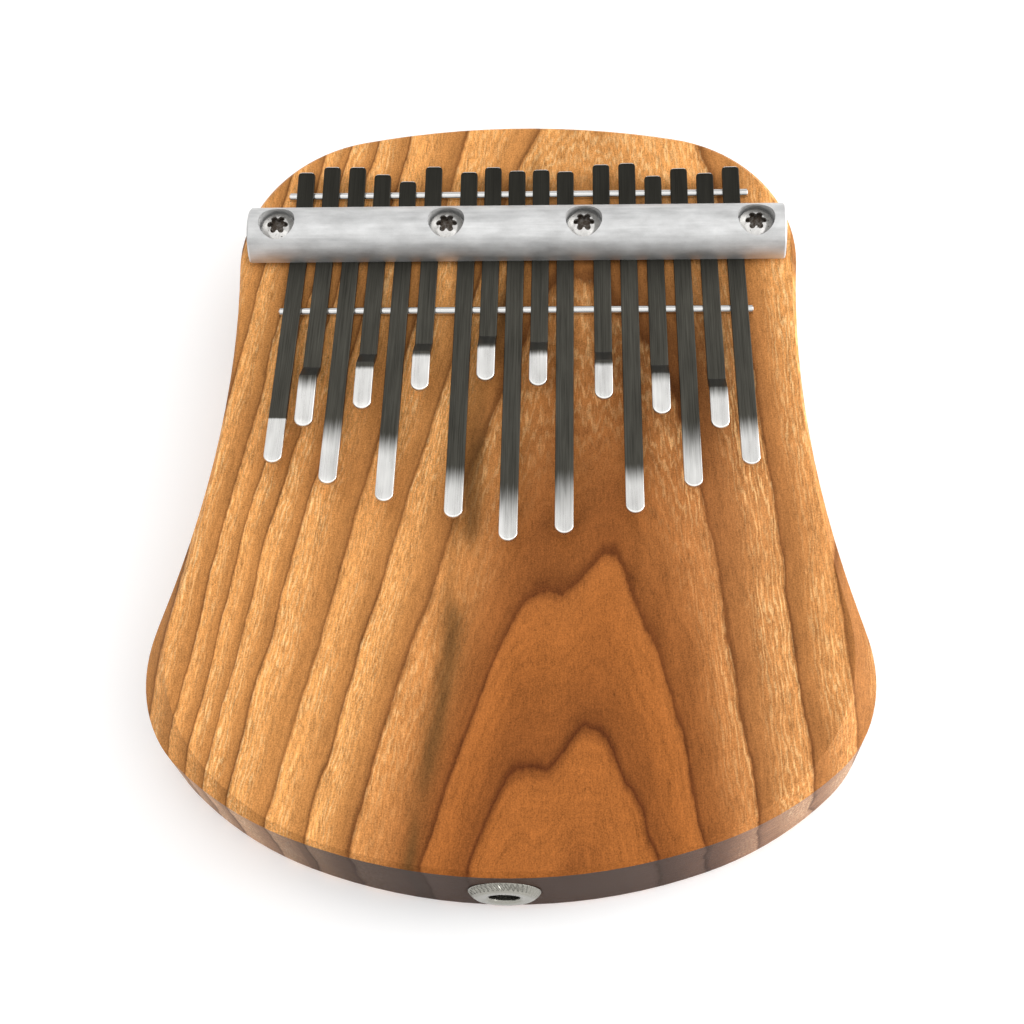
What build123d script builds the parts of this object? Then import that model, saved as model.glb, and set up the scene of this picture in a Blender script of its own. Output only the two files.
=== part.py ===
from build123d import *
from math import acos, atan2, cos, degrees, hypot, pi, radians, sin, sqrt, tan
import os

# A seventeen-tine thumb piano on a solid wooden board, with a pickup jack in its lower edge.
# Millimetres. The origin is the middle of the board's underside, +Z points out of the playing
# face and +Y points away from the player, towards the tuning ends of the tines.

# Board
BOARD_LENGTH = 183.8
BOARD_THICKNESS = 26.0
SHOULDER_WIDTH = 130.3
HIP_WIDTH = 153.6
CROWN_RADIUS = 184.5
SHOULDER_RADIUS = 34.5
WAIST_RADIUS = 237.0
HIP_RADIUS = 27.5
FLANK_RADIUS = 75.5
TAIL_RADIUS = 123.7
FLANK_END = 46.48         # degrees below the hip's widest point where the flank begins
UNDERSIDE_ROUNDING = 1.8

# The playing face is a smaller outline inside the board's, and the 45 degree bevel between them
# is narrow all round except at the hips, where the hands hold the board.
RIM_BEVEL = 1.0
HIP_BEVEL = 4.7
BEVEL_DEPTH = 6.5
FACE_WAIST_RADIUS = 317.0
FACE_HIP_RADIUS = 38.0
FACE_FLANK_RADIUS = 60.0
FACE_FLANK_END = 43.82

# Bridge rods, laid in grooves across the face
ROD_DIAMETER = 2.0
ROD_LENGTH = 109.0
ROD_PROUD = 1.4           # height of a rod's top above the face
REAR_ROD_Y = 71.0
FRONT_ROD_Y = 38.7
ROD_END_CHAMFER = 0.25

# Half-round pressure bar and its four screws
BAR_Y = 58.5
BAR_LENGTH = 124.6
BAR_RADIUS = 7.0
BAR_END_CHAMFER = 0.4
COUNTERBORE_DIAMETER = 8.5
COUNTERBORE_FLOOR = 3.2   # metal left under each screw head
OUTER_SCREW_X = 55.4
SHANK_DIAMETER = 3.6
SHANK_CLEARANCE = 0.2
HEAD_DIAMETER = 7.4
HEAD_RIM = 1.3
HEAD_CROWN = 2.5
RECESS_POINT_DIAMETER = 4.9
RECESS_DEPTH = 1.6
RECESS_LOBE = 0.7           # radius of each of the recess's six lobes
RECESS_WAIST = 3.3          # diameter between the lobes
SCREW_BITE = 15.0         # length of screw in the wood
SCREW_TIP = 3.0
SCREW_TIP_RADIUS = 0.3

# Tines
TINE_WIDTH = 4.0
TINE_THICKNESS = 1.0
MIDDLE_PITCH = 5.8
OUTER_PITCH = 6.2
MIDDLE_TINES = 5
OUTER_TINES = 6           # in each outer group
GROUP_GAP = 8.6           # between the tines either side of an inner screw
FAN_RADIUS = 2300.0       # the tines spread from a point this far behind the front rod
TINE_DIP = 0.8            # how far the bar presses a tine below the rods
BEND_RADIUS = 6.0
SEAT_GAP = 0.05
REAR_CORNER = 0.9
# Playing length of each tine from the front rod, and tuning tail behind the rear rod, left to right
TINE_REACH = (41.4, 33.3, 46.7, 28.8, 51.1, 24.1, 55.1, 21.6, 60.7, 23.1, 58.9, 26.6, 54.0, 30.5,
              47.6, 34.2, 42.1)
TINE_TAIL = (5.3, 6.7, 6.6, 4.6, 2.7, 6.5, 5.0, 6.2, 5.2, 5.4, 4.9, 6.6, 6.9, 3.5, 5.4, 4.1, 5.7)
# Every second tine is cranked up to a raised thumb plate
PLATE_LENGTH = (12.5, 11.5, 9.6, 9.0, 8.8, 9.5, 9.8, 9.8)
CRANK_RISE = 3.2
CRANK_RUN = 4.0
CRANK_RADIUS = 1.1

# Pickup pocket, milled from the underside behind the jack, and its cover
POCKET_WIDTH = 32.0
POCKET_LENGTH = 34.0
POCKET_ROOF = 21.0        # height of the pocket's roof above the underside
POCKET_CORNER = 3.0
COVER_LEDGE = 5.5
COVER_RECESS = 2.0
COVER_THICKNESS = 1.8
COVER_CLEARANCE = 0.2
COVER_SCREW_DIAMETER = 2.2
COVER_SCREW_HEAD = 4.2
COVER_SCREW_LENGTH = 8.0
CROSS_SPAN = 2.5
CROSS_SLOT_WIDTH = 0.6
CROSS_DEPTH = 0.5

# Jack
JACK_WALL = 8.5           # wood between the pocket and the lower edge
PLUG_BORE = 6.4
SLEEVE_DIAMETER = 9.5
SLEEVE_CLEARANCE = 0.1
NUT_DIAMETER = 15.2
NUT_FACE_DIAMETER = 11.6
NUT_HEIGHT = 1.8
NUT_LIP = 0.5             # front skin of the nut, over the end of the sleeve
SPOT_FACE_DEPTH = 0.3
SPOT_FACE_MARGIN = 0.4
FLANGE_DIAMETER = 14.0
FLANGE_THICKNESS = 1.6
BLOCK_WIDTH = 10.0
BLOCK_LENGTH = 7.0
BLOCK_HEIGHT = 6.0
LEAF_WIDTH = 4.0
LEAF_THICKNESS = 0.3
LEAF_REACH = 13.5         # from the block to the leaf's crest
LEAF_PRELOAD = 1.0        # how far the crest stands in the plug's way
LUG_WIDTH = 2.5
LUG_REACH = 4.0

# Pickup disc and its two leads
DISC_DIAMETER = 20.0
DISC_THICKNESS = 0.25
CERAMIC_DIAMETER = 14.0
CERAMIC_THICKNESS = 0.25
DISC_SETBACK = 21.5       # from the pocket's jack wall to the disc's centre
LEAD_DIAMETER = 1.0
LEAD_RISE = 4.0           # height of the run at each soldered end
LEAD_BEND_SHARE = 0.45    # share of the shorter run that each bend takes up
SIGNAL_SOLDER_X = 5.0     # where the signal lead meets the ceramic

# Places that follow from the sizes above
TOP_Y = BOARD_LENGTH / 2
TAIL_Y = -BOARD_LENGTH / 2
FACE_Z = BOARD_THICKNESS
ROD_RADIUS = ROD_DIAMETER / 2
ROD_Z = FACE_Z + ROD_PROUD - ROD_RADIUS
SUPPORT_Z = FACE_Z + ROD_PROUD + SEAT_GAP            # underside of a tine where it crosses a rod
PRESSED_Z = SUPPORT_Z - TINE_DIP                     # underside of a tine below the bar
BAR_Z = PRESSED_Z + TINE_THICKNESS + SEAT_GAP        # flat underside of the bar
HEAD_Z = BAR_Z + COUNTERBORE_FLOOR
SHANK_HOLE = SHANK_DIAMETER + SHANK_CLEARANCE
MIDDLE_HALF = MIDDLE_PITCH * (MIDDLE_TINES - 1) / 2
INNER_SCREW_X = MIDDLE_HALF + GROUP_GAP / 2
SCREW_XS = (-OUTER_SCREW_X, -INNER_SCREW_X, INNER_SCREW_X, OUTER_SCREW_X)
REAR_BEND = FRONT_ROD_Y - BAR_Y - BAR_RADIUS         # along a tine from the front rod, towards its tip
FRONT_BEND = FRONT_ROD_Y - BAR_Y + BAR_RADIUS
JACK_Z = BOARD_THICKNESS / 2 + SPOT_FACE_DEPTH
POCKET_SOUTH = TAIL_Y + JACK_WALL
POCKET_MIDDLE = POCKET_SOUTH + POCKET_LENGTH / 2
SEAT_Y = TAIL_Y + SPOT_FACE_DEPTH                    # face that the nut bears on
NUT_FRONT_Y = SEAT_Y - NUT_HEIGHT
FLANGE_Y = POCKET_SOUTH + FLANGE_THICKNESS           # inner face of the flange
BLOCK_TOP = JACK_Z - PLUG_BORE / 2 - SLEEVE_CLEARANCE
LEAF_Z = BLOCK_TOP - BLOCK_HEIGHT / 2
DISC_Y = POCKET_SOUTH + DISC_SETBACK
COVER_FACE_Z = COVER_RECESS - COVER_THICKNESS        # outer face of the cover
CERAMIC_Z = POCKET_ROOF - DISC_THICKNESS - CERAMIC_THICKNESS


def on_circle(centre, radius, angle):
    """Point of a circle at an angle in radians."""
    return (centre[0] + radius * cos(angle), centre[1] + radius * sin(angle))


def direction(start, end):
    return atan2(end[1] - start[1], end[0] - start[0])


def board_outline(inset, shoulder_width, hip_width, radii, flank_turn, grow=0.0):
    """Face bounded by tangent arcs: crown, then down the right side and mirrored up the left.

    radii are those of the crown, shoulder, waist, hip, flank and tail. flank_turn is the angle
    in degrees below the hip's widest point where the flank begins; the tail's arc reaches as far
    to each side as the hip's width needs. grow moves the whole outline outwards by that
    distance, with every arc about its own centre.
    """
    crown, shoulder, waist, hip, flank, tail = radii
    crown_centre = (0.0, TOP_Y - inset - crown)
    crown_end = acos((shoulder_width / 2 - shoulder) / (crown - shoulder))
    shoulder_centre = on_circle(crown_centre, crown - shoulder, crown_end)
    tail_centre = (0.0, TAIL_Y + inset + tail)
    flank_end = -radians(flank_turn)
    turn = -acos((hip_width / 2 - hip - (flank - hip) * cos(flank_end)) / (tail - flank))
    flank_centre = on_circle(tail_centre, tail - flank, turn)
    hip_centre = on_circle(flank_centre, flank - hip, flank_end)
    # The waist arc is hollow, so its centre lies outside, touching the shoulder and hip circles.
    span = hypot(hip_centre[0] - shoulder_centre[0], hip_centre[1] - shoulder_centre[1])
    to_shoulder = waist + shoulder
    to_hip = waist + hip
    along = (to_shoulder**2 - to_hip**2 + span**2) / (2 * span)
    across = sqrt(to_shoulder**2 - along**2)
    line = direction(shoulder_centre, hip_centre)
    foot = on_circle(shoulder_centre, along, line)
    waist_centre = on_circle(foot, across, line + radians(90))
    shoulder_end = direction(shoulder_centre, waist_centre)
    hip_start = direction(hip_centre, waist_centre)
    waist_start = direction(waist_centre, shoulder_centre)
    waist_end = direction(waist_centre, hip_centre)
    if waist_start < 0:
        waist_start += radians(360)
    if waist_end < 0:
        waist_end += radians(360)
    side = [
        (shoulder_centre, shoulder + grow, crown_end, shoulder_end),
        (waist_centre, waist - grow, waist_start, waist_end),
        (hip_centre, hip + grow, hip_start, flank_end),
        (flank_centre, flank + grow, flank_end, turn),
    ]
    edges = []
    for centre, radius, start, end in side:
        points = [on_circle(centre, radius, a) for a in (start, (start + end) / 2, end)]
        edges.append(ThreePointArc(*points))
        edges.append(ThreePointArc(*[(-x, y) for x, y in points]))
    for centre, radius, start in ((crown_centre, crown, crown_end), (tail_centre, tail, turn)):
        x, y = on_circle(centre, radius + grow, start)
        middle = (0.0, centre[1] + (radius + grow) * (1 if start > 0 else -1))
        edges.append(ThreePointArc((-x, y), middle, (x, y)))
    return make_face(Wire.combine(edges)[0])


def wall_outline():
    radii = (CROWN_RADIUS, SHOULDER_RADIUS, WAIST_RADIUS, HIP_RADIUS, FLANK_RADIUS, TAIL_RADIUS)
    return board_outline(0.0, SHOULDER_WIDTH, HIP_WIDTH, radii, FLANK_END)


def face_outline(grow=0.0):
    radii = (
        CROWN_RADIUS - RIM_BEVEL,
        SHOULDER_RADIUS - RIM_BEVEL,
        FACE_WAIST_RADIUS,
        FACE_HIP_RADIUS,
        FACE_FLANK_RADIUS,
        TAIL_RADIUS - RIM_BEVEL,
    )
    shoulder_width = SHOULDER_WIDTH - 2 * RIM_BEVEL
    hip_width = HIP_WIDTH - 2 * HIP_BEVEL
    return board_outline(RIM_BEVEL, shoulder_width, hip_width, radii, FACE_FLANK_END, grow)


def rounded_block(width, length, height, corner):
    """Upright block, centred in plan, standing on z = 0, with rounded corners."""
    return extrude(RectangleRounded(width, length, corner), height)


def cylinder_y(diameter, start_y, end_y, x=0.0, z=JACK_Z):
    """Cylinder along Y."""
    length = end_y - start_y
    return Pos(x, start_y + length / 2, z) * Rot(90, 0, 0) * Cylinder(diameter / 2, length)


def cover_screw_spots():
    """Four places along the ledge's two long sides, just short of its corners."""
    x = (POCKET_WIDTH + COVER_LEDGE) / 2
    y = POCKET_LENGTH / 2 - COVER_SCREW_HEAD / 2
    return [Pos(sx * x, POCKET_MIDDLE + sy * y) for sx in (-1, 1) for sy in (-1, 1)]


def board():
    wood = extrude(wall_outline(), BOARD_THICKNESS)
    wood = fillet(wood.faces().sort_by(Axis.Z)[0].edges(), UNDERSIDE_ROUNDING)
    slab = Pos(0, 0, FACE_Z - BEVEL_DEPTH / 2) * Box(2 * HIP_WIDTH, 2 * BOARD_LENGTH, BEVEL_DEPTH)
    foot = Pos(0, 0, FACE_Z - BEVEL_DEPTH) * face_outline(BEVEL_DEPTH)
    crown = Pos(0, 0, FACE_Z) * face_outline()
    wood -= slab - loft([foot, crown], ruled=True)
    for rod_y in (REAR_ROD_Y, FRONT_ROD_Y):
        wood -= Pos(0, rod_y, ROD_Z) * Rot(0, 90, 0) * Cylinder(ROD_RADIUS, ROD_LENGTH)
    for x in SCREW_XS:
        wood -= Pos(x, BAR_Y, 0) * screw_point(FACE_Z, SHANK_DIAMETER, SCREW_BITE, SCREW_TIP)
    middle = Pos(0, POCKET_MIDDLE)
    wood -= middle * rounded_block(POCKET_WIDTH, POCKET_LENGTH, POCKET_ROOF, POCKET_CORNER)
    ledge = 2 * COVER_LEDGE
    wood -= middle * rounded_block(
        POCKET_WIDTH + ledge, POCKET_LENGTH + ledge, COVER_RECESS, POCKET_CORNER + COVER_LEDGE / 2
    )
    for spot in cover_screw_spots():
        wood -= spot * Pos(0, 0, COVER_FACE_Z) * cover_screw_shank()
    wood -= cylinder_y(SLEEVE_DIAMETER + 2 * SLEEVE_CLEARANCE, TAIL_Y - NUT_HEIGHT, POCKET_MIDDLE)
    wood -= cylinder_y(NUT_DIAMETER + 2 * SPOT_FACE_MARGIN, TAIL_Y - NUT_HEIGHT, SEAT_Y)
    return wood


def screw_point(top, diameter, length, point):
    """Pointed pin hanging from a height."""
    straight = length - point
    pin = Pos(0, 0, top - straight / 2) * Cylinder(diameter / 2, straight)
    return pin + Pos(0, 0, top - length + point / 2) * Cone(SCREW_TIP_RADIUS, diameter / 2, point)


def bridge_rod(rod_y):
    rod = Pos(0, rod_y, ROD_Z) * Rot(0, 90, 0) * Cylinder(ROD_RADIUS, ROD_LENGTH)
    return chamfer(rod.edges().filter_by(GeomType.CIRCLE), ROD_END_CHAMFER)


def pressure_bar():
    front = (BAR_Y - BAR_RADIUS, BAR_Z)
    rear = (BAR_Y + BAR_RADIUS, BAR_Z)
    arc = ThreePointArc(front, (BAR_Y, BAR_Z + BAR_RADIUS), rear)
    base = Line(rear, front)
    section = Plane.YZ * make_face([arc, base])
    bar = extrude(section, BAR_LENGTH / 2, both=True)
    ends = bar.faces().filter_by(Axis.X)
    rims = [edge for end in ends for edge in end.edges().filter_by(GeomType.CIRCLE)]
    bar = chamfer(rims, BAR_END_CHAMFER)
    for x in SCREW_XS:
        bar -= Pos(x, BAR_Y, BAR_Z) * Cylinder(SHANK_HOLE / 2, 4 * BAR_RADIUS)
        bar -= Pos(x, BAR_Y, HEAD_Z + BAR_RADIUS) * Cylinder(COUNTERBORE_DIAMETER / 2, 2 * BAR_RADIUS)
    return bar


def six_lobe_recess(point_diameter, depth):
    """Hexalobular socket, with its mouth at z = 0."""
    socket = Pos(0, 0, -depth / 2) * Cylinder(RECESS_WAIST / 2, depth)
    for turn in range(6):
        place = Rot(0, 0, 60 * turn) * Pos(point_diameter / 2 - RECESS_LOBE, 0, -depth / 2)
        socket += place * Cylinder(RECESS_LOBE, depth)
    return socket


def bar_screw(x):
    """Pan-head wood screw, its head seated in the bar's counterbore."""
    dome = HEAD_CROWN - HEAD_RIM
    dome_radius = ((HEAD_DIAMETER / 2) ** 2 + dome**2) / (2 * dome)
    head = Pos(0, 0, HEAD_CROWN / 2) * Cylinder(HEAD_DIAMETER / 2, HEAD_CROWN)
    head &= Pos(0, 0, HEAD_CROWN - dome_radius) * Sphere(dome_radius)
    head -= Pos(0, 0, HEAD_CROWN) * six_lobe_recess(RECESS_POINT_DIAMETER, RECESS_DEPTH)
    length = HEAD_Z - FACE_Z + SCREW_BITE
    return Pos(x, BAR_Y, HEAD_Z) * (head + screw_point(0, SHANK_DIAMETER, length, SCREW_TIP))


def ribbon(points, radii, thickness):
    """Side view of a bent strip.

    points run along one face of the strip and radii are those of its bends, on the middle of its
    thickness. The strip lies to the left of the points' direction, or to the right where the
    thickness is negative.
    """
    turns = [direction(a, b) for a, b in zip(points, points[1:])]
    upper = []
    for i, point in enumerate(points):
        before = turns[max(i - 1, 0)]
        after = turns[min(i, len(turns) - 1)]
        mitre = thickness / cos((after - before) / 2)
        upper.append(on_circle(point, mitre, (before + after) / 2 + radians(90)))
    bends = [after - before for before, after in zip(turns, turns[1:])]
    half = thickness / 2
    inner = [r + half if bend > 0 else r - half for r, bend in zip(radii, bends)]
    outer = [r - half if bend > 0 else r + half for r, bend in zip(radii, bends)]
    bottom = FilletPolyline(*points, radius=inner)
    top = FilletPolyline(*upper, radius=outer)
    ends = [Line(points[0], upper[0]), Line(points[-1], upper[-1])]
    return make_face([bottom, top, *ends])


def tine_xs():
    """Where the tines cross the front rod, left to right."""
    outer = [MIDDLE_HALF + GROUP_GAP + OUTER_PITCH * i for i in range(OUTER_TINES)]
    middle = [MIDDLE_PITCH * i - MIDDLE_HALF for i in range(MIDDLE_TINES)]
    return [-x for x in reversed(outer)] + middle + outer


def front_slope():
    return TINE_DIP / -FRONT_BEND


def tine_profile(reach, tail, plate):
    """Underside of a tine as (distance towards the tip from the front rod, height), and bends."""
    rear_reach = REAR_ROD_Y - FRONT_ROD_Y
    rear_slope = TINE_DIP / (rear_reach + REAR_BEND)
    points = [
        (-rear_reach - tail, SUPPORT_Z + rear_slope * tail),
        (REAR_BEND, PRESSED_Z),
        (FRONT_BEND, PRESSED_Z),
    ]
    radii = [BEND_RADIUS, BEND_RADIUS]
    if plate:
        crank = reach - plate - CRANK_RUN
        foot = SUPPORT_Z + front_slope() * crank
        points += [(crank, foot), (crank + CRANK_RUN, foot + CRANK_RISE), (reach, foot + CRANK_RISE)]
        radii += [CRANK_RADIUS, CRANK_RADIUS]
    else:
        points.append((reach, SUPPORT_Z + front_slope() * reach))
    return points, radii


def tine(x, reach, tail, plate):
    points, radii = tine_profile(reach, tail, plate)
    side = ribbon([(-s, z) for s, z in points], radii, -TINE_THICKNESS)
    strip = extrude(Plane.YZ * side, TINE_WIDTH / 2, both=True)
    start = REAR_ROD_Y - FRONT_ROD_Y + tail
    length = start + reach
    plan = Pos(0, (start - reach) / 2) * Rectangle(TINE_WIDTH, length)
    corners = plan.vertices().sort_by(Axis.Y)
    plan = fillet(corners[:2], TINE_WIDTH / 2 - SEAT_GAP)
    plan = fillet(plan.vertices().sort_by(Axis.Y)[-2:], REAR_CORNER)
    strip &= extrude(plan, 2 * BOARD_THICKNESS)
    return Pos(x, FRONT_ROD_Y) * Rot(0, 0, degrees(atan2(x, FAN_RADIUS))) * strip


def tines():
    made = {}
    for i, x in enumerate(tine_xs()):
        plate = PLATE_LENGTH[i // 2] if i % 2 else 0.0
        made[f"tine_{i + 1:02d}"] = tine(x, TINE_REACH[i], TINE_TAIL[i], plate)
    return made


def jack_sleeve():
    """Bush with a flange that bears on the pocket wall."""
    body = cylinder_y(SLEEVE_DIAMETER, NUT_FRONT_Y + NUT_LIP, POCKET_SOUTH)
    body += cylinder_y(FLANGE_DIAMETER, POCKET_SOUTH, FLANGE_Y)
    return body - cylinder_y(PLUG_BORE, NUT_FRONT_Y, FLANGE_Y)


def jack_nut():
    cone = Cone(NUT_DIAMETER / 2, NUT_FACE_DIAMETER / 2, NUT_HEIGHT)
    nut = Pos(0, SEAT_Y - NUT_HEIGHT / 2, JACK_Z) * Rot(90, 0, 0) * cone
    nut -= cylinder_y(SLEEVE_DIAMETER, NUT_FRONT_Y + NUT_LIP, SEAT_Y)
    return nut - cylinder_y(PLUG_BORE, NUT_FRONT_Y, SEAT_Y)


def leaf_profile():
    """Underside of the leaf as (y, z), from its seat in the block to its free end."""
    block_end = FLANGE_Y + BLOCK_LENGTH
    crest = JACK_Z - PLUG_BORE / 2 + LEAF_PRELOAD - LEAF_THICKNESS
    return [
        (FLANGE_Y + BLOCK_LENGTH / 4, LEAF_Z),
        (block_end + LEAF_THICKNESS, LEAF_Z),
        (block_end + LEAF_REACH, crest),
        (block_end + LEAF_REACH + LEAF_WIDTH / 2, crest - LEAF_PRELOAD),
    ]


def jack_tip_spring():
    """Contact leaf, with a soldering lug that leaves the block sideways."""
    points = leaf_profile()
    side = ribbon(points, [2 * LEAF_THICKNESS, 2 * LEAF_THICKNESS], LEAF_THICKNESS)
    leaf = extrude(Plane.YZ * side, LEAF_WIDTH / 2, both=True)
    return leaf + tip_lug()


def tip_lug():
    length = BLOCK_WIDTH / 2 + LUG_REACH
    middle_y = FLANGE_Y + BLOCK_LENGTH / 2
    return Pos(length / 2, middle_y, LEAF_Z + LEAF_THICKNESS / 2) * Box(length, LUG_WIDTH, LEAF_THICKNESS)


def jack_insulator():
    """Moulded block under the bush, with the leaf and its lug set in it."""
    block = Pos(0, FLANGE_Y + BLOCK_LENGTH / 2, BLOCK_TOP - BLOCK_HEIGHT / 2)
    return block * Box(BLOCK_WIDTH, BLOCK_LENGTH, BLOCK_HEIGHT) - jack_tip_spring()


def jack_ground_lug():
    x = -(PLUG_BORE + FLANGE_DIAMETER) / 4
    return Pos(x, FLANGE_Y + LUG_REACH / 2, JACK_Z) * Box(LUG_WIDTH, LUG_REACH, 2 * LEAF_THICKNESS)


def pickup_plate():
    centre = Pos(0, DISC_Y, POCKET_ROOF - DISC_THICKNESS / 2)
    return centre * Cylinder(DISC_DIAMETER / 2, DISC_THICKNESS)


def pickup_ceramic():
    centre = Pos(0, DISC_Y, CERAMIC_Z + CERAMIC_THICKNESS / 2)
    return centre * Cylinder(CERAMIC_DIAMETER / 2, CERAMIC_THICKNESS)


def lead(start, end):
    """Round wire that leaves its lug upwards and meets the disc from below."""
    points = [
        Vector(*start),
        Vector(start[0], start[1], start[2] + LEAD_RISE),
        Vector(end[0], end[1], end[2] - LEAD_RISE),
        Vector(*end),
    ]
    runs = [b - a for a, b in zip(points, points[1:])]
    radii = []
    for before, after in zip(runs, runs[1:]):
        half_turn = radians(before.get_angle(after) / 2)
        radii.append(LEAD_BEND_SHARE * min(before.length, after.length) / tan(half_turn))
    path = FilletPolyline(*points, radius=radii)
    wire = sweep(Pos(*start) * Circle(LEAD_DIAMETER / 2), path)
    expected = path.length * pi * LEAD_DIAMETER**2 / 4
    print("lead", round(path.length, 2), "mm, radii", [round(r, 2) for r in radii],
          "volume ratio", round(wire.volume / expected, 4))
    return wire


def signal_lead():
    x = (BLOCK_WIDTH + LUG_REACH) / 2
    start = (x, FLANGE_Y + BLOCK_LENGTH / 2, LEAF_Z + LEAF_THICKNESS)
    return lead(start, (SIGNAL_SOLDER_X, DISC_Y, CERAMIC_Z))


def ground_lead():
    x = -(PLUG_BORE + FLANGE_DIAMETER) / 4
    rim = (DISC_DIAMETER + CERAMIC_DIAMETER) / 4
    start = (x, FLANGE_Y + LUG_REACH / 2, JACK_Z + LEAF_THICKNESS)
    return lead(start, (-rim, DISC_Y, POCKET_ROOF - DISC_THICKNESS))


def pocket_cover():
    ledge = 2 * (COVER_LEDGE - COVER_CLEARANCE)
    corner = POCKET_CORNER + COVER_LEDGE / 2 - COVER_CLEARANCE
    plate = rounded_block(POCKET_WIDTH + ledge, POCKET_LENGTH + ledge, COVER_THICKNESS, corner)
    cover = Pos(0, POCKET_MIDDLE, COVER_FACE_Z) * plate
    for spot in cover_screw_spots():
        cover -= spot * cover_screw()
    return cover


def cover_screw_shank():
    """Plain shank standing on z = 0."""
    return Pos(0, 0, COVER_SCREW_LENGTH / 2) * Cylinder(COVER_SCREW_DIAMETER / 2, COVER_SCREW_LENGTH)


def cover_screw():
    """Countersunk screw, flush with the cover."""
    sink = (COVER_SCREW_HEAD - COVER_SCREW_DIAMETER) / 2
    head = Pos(0, 0, sink / 2) * Cone(COVER_SCREW_HEAD / 2, COVER_SCREW_DIAMETER / 2, sink)
    return Pos(0, 0, COVER_FACE_Z) * (head + cover_screw_shank())


def cross_slot():
    """Cross recess in a cover screw's head."""
    arm = Box(CROSS_SPAN, CROSS_SLOT_WIDTH, 2 * CROSS_DEPTH)
    return Pos(0, 0, COVER_FACE_Z) * (arm + Rot(0, 0, 90) * arm)


def main():
    cover_screws = [(spot * (cover_screw() - cross_slot())).solid() for spot in cover_screw_spots()]
    parts = {
        "board": board(),
        "rear_bridge_rod": bridge_rod(REAR_ROD_Y),
        "front_bridge_rod": bridge_rod(FRONT_ROD_Y),
        "pressure_bar": pressure_bar(),
        "pressure_bar_screws": Compound([bar_screw(x).solid() for x in SCREW_XS]),
        "jack_sleeve": jack_sleeve(),
        "jack_nut": jack_nut(),
        "jack_insulator": jack_insulator(),
        "jack_tip_spring": jack_tip_spring(),
        "jack_ground_lug": jack_ground_lug(),
        "pickup_plate": pickup_plate(),
        "pickup_ceramic": pickup_ceramic(),
        "signal_lead": signal_lead(),
        "ground_lead": ground_lead(),
        "pocket_cover": pocket_cover(),
        "cover_screws": Compound(cover_screws),
    }
    parts.update(tines())
    for name, part in parts.items():
        export_step(part, f"parts/{name}.step")


os.makedirs("parts", exist_ok=True)
main()
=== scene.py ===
import math

import bpy
from bpy.props import FloatProperty, FloatVectorProperty, IntProperty, PointerProperty
from mathutils import Matrix, Vector


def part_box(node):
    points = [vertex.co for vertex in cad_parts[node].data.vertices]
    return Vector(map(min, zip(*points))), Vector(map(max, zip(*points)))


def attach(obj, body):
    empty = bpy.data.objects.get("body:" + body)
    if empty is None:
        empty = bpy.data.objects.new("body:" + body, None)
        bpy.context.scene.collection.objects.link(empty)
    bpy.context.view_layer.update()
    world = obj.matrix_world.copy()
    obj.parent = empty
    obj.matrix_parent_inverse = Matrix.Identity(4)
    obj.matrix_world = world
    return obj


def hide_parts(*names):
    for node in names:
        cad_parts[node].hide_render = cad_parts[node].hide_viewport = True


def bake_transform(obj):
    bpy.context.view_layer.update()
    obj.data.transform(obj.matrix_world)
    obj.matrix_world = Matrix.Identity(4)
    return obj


bl_info = {
    "name": "Thumb piano finishes",
    "version": (1, 0, 0),
    "blender": (4, 5, 0),
    "location": "3D View > Sidebar > Thumb Piano",
    "description": "Gives a seventeen-tine thumb piano its wood, steel and aluminium",
    "category": "Object",
}

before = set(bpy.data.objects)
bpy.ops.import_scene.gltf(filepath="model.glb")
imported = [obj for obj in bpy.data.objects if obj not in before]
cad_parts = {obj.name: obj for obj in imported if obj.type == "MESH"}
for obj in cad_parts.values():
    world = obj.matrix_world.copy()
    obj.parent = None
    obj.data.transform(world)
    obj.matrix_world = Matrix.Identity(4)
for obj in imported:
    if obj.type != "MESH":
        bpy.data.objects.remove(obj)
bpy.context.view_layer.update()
MM = 0.001
TINES = 17

# Bright length at each tine's tip, left to right, in millimetres: partly ground steel and partly
# a painted reflection of the light
GROUND_AND_REFLECTION_LENGTH = (11.2, 10.6, 12.5, 10.2, 14.0, 8.8, 9.6, 8.4, 8.6, 8.0, 9.0, 8.6, 9.0, 9.0, 10.0, 8.6, 9.0)
# Length over which that bright end, ground steel and painted reflection, begins, in millimetres
GROUND_AND_REFLECTION_FADE = (0.35, 3.0, 6.0, 0.8, 4.5, 0.8, 4.5, 0.8, 7.0, 1.2, 9.0, 0.9, 4.0, 2.5, 9.0, 2.6, 4.5)
# Raised thumb plates of the even tines, left to right, in millimetres
PLATE_LENGTH = (12.5, 11.5, 9.6, 9.0, 8.8, 9.5, 9.8, 9.8)
# Gap between a tine and what bears on it
SEAT_GAP = 0.05 * MM
# Distance between a tine's cross-sections on a straight run, at most
TRACK_STEP = 1.6 * MM
# Rounding along a tine's lower edges
ARRIS = 0.12 * MM

# How far each growth ring lies from the pith, in millimetres, outwards; RING_SPAN is past all wood
RINGS = (18.3, 28.8, 40.0, 51.0, 60.3, 70.0, 75.9, 80.9, 85.5, 92.0, 98.5, 105.0, 112.0)
RING_SPAN = 120.0
YEARS = len(RINGS) + 1
# Sideways drift of the pith for each millimetre along the board
PITH_DRIFT = 0.07
# How far from the board's middle, towards the player, the arches start, and how blunt they are
ARCH_START = 90.0
ARCH_BLUNTNESS = 13.0
# How much nearer the pith is for each millimetre down into the board
DEPTH_PULL = 0.35
# An arch is pulled up on one side of the pith and down on the other: the width of that swing, and
# how far from the pith it fades away, in millimetres
LOBE_PERIOD = 21.0
LOBE_REACH = 13.0

# The bar's inner screws, either side of the board's middle line, in millimetres
INNER_SCREW_X = 15.9
# The darker, browner tint down in the driver sockets comes in from the first of each pair to the
# second, in millimetres: the distance from a screw's axis, and the depth below the top of its head
SOCKET_TINT_RADIUS = (2.65, 2.40)
SOCKET_TINT_DEPTH = (0.35, 0.80)

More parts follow.
